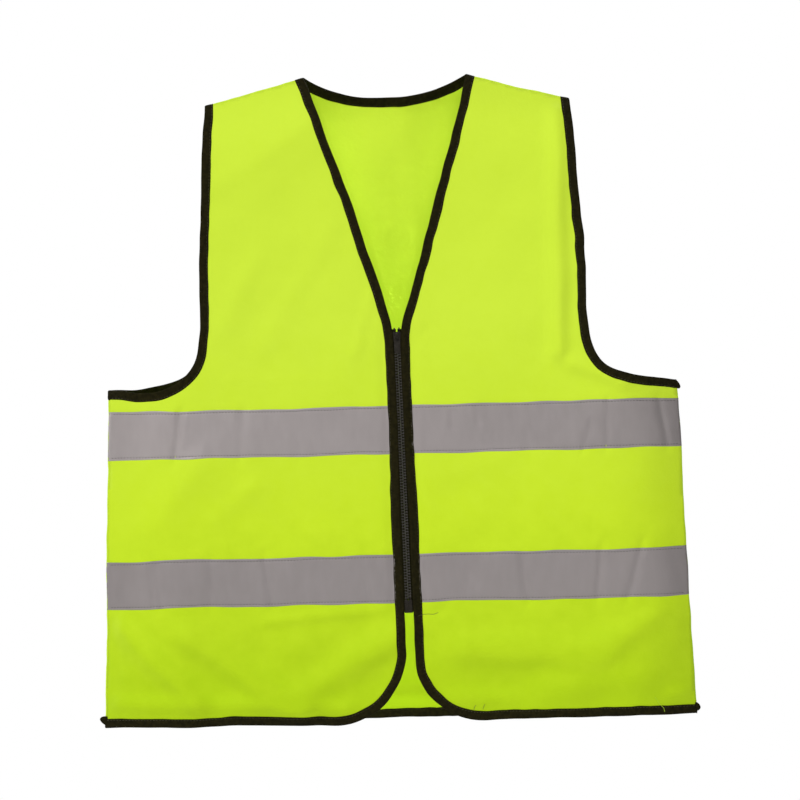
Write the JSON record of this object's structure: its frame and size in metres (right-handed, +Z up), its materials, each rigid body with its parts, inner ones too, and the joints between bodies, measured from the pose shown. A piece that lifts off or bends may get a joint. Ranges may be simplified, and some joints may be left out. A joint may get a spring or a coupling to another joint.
{
  "type": "high visibility vest",
  "caption": "Sleeveless high visibility vest with a V neck, reflective bands round the body, dark bound edges and an open-end front zip.",
  "frame": {"origin": "midway between the two neck points, in the plane of the side seams; the wearer's shoulders carry the vest here", "axes": "+Z up, the vest hangs below the origin; -Y out of the front with the zip; +X to the wearer's left"},
  "size_m": [0.612, 0.0812, 0.6655],
  "materials": {
    "fluorescent_cloth": "fluorescent yellow-green tricot knit, matt with a soft sheen",
    "reflective_tape": "silver-grey glass-bead retroreflective tape",
    "dark_binding": "brown-black woven bias binding",
    "zip_tape": "black woven zip tape",
    "zip_plastic": "black moulded plastic, semi-gloss"
  },
  "bodies": {
    "root": {"back_panel": "fluorescent_cloth", "back_neck_binding": "dark_binding", "back_hem_binding": "dark_binding", "back_upper_band": "reflective_tape", "back_lower_band": "reflective_tape", "right_armhole_binding": "dark_binding", "right_side_panel": "fluorescent_cloth", "right_hem_binding": "dark_binding", "right_side_upper_band": "reflective_tape", "right_side_lower_band": "reflective_tape", "left_armhole_binding": "dark_binding", "left_side_panel": "fluorescent_cloth", "left_hem_binding": "dark_binding", "left_side_upper_band": "reflective_tape", "left_side_lower_band": "reflective_tape"},
    "front_right": {"right_front_panel": "fluorescent_cloth", "right_front_binding": "dark_binding", "right_front_upper_band": "reflective_tape", "right_front_lower_band": "reflective_tape", "right_zip_tape": "zip_tape", "right_zip_teeth": "zip_plastic", "right_top_stop": "zip_plastic", "zip_retainer_box": "zip_plastic", "zip_box_pin": "zip_plastic"},
    "front_left": {"left_front_panel": "fluorescent_cloth", "left_front_binding": "dark_binding", "left_front_upper_band": "reflective_tape", "left_front_lower_band": "reflective_tape", "left_zip_tape": "zip_tape", "left_zip_teeth": "zip_plastic", "left_top_stop": "zip_plastic", "zip_insertion_pin": "zip_plastic"},
    "zip_slider": {"zip_slider_front": "zip_plastic", "zip_slider_back": "zip_plastic"},
    "zip_pull": {"zip_pull_tab": "zip_plastic"}
  },
  "joints": [
    {"name": "right_front_opens", "type": "hinge", "parent": "root", "child": "front_right", "pos_m": [-0.0579, -0.044, -0.08], "axis": [-0.2349, 0, -0.972], "range_deg": [0, 150]},
    {"name": "left_front_opens", "type": "hinge", "parent": "root", "child": "front_left", "pos_m": [0.06354, -0.044, -0.08], "axis": [-0.2261, 0, 0.9741], "range_deg": [0, 150]},
    {"name": "zip_slides", "type": "slide", "parent": "front_right", "child": "zip_slider", "axis": [0.0171, 0, -0.9999], "range_m": [0, 0.262]},
    {"name": "pull_swings", "type": "hinge", "parent": "zip_slider", "child": "zip_pull", "pos_m": [0.00562, -0.03965, -0.2718], "axis": [-0.9999, 0, -0.0171], "range_deg": [0, 160]}
  ]
}
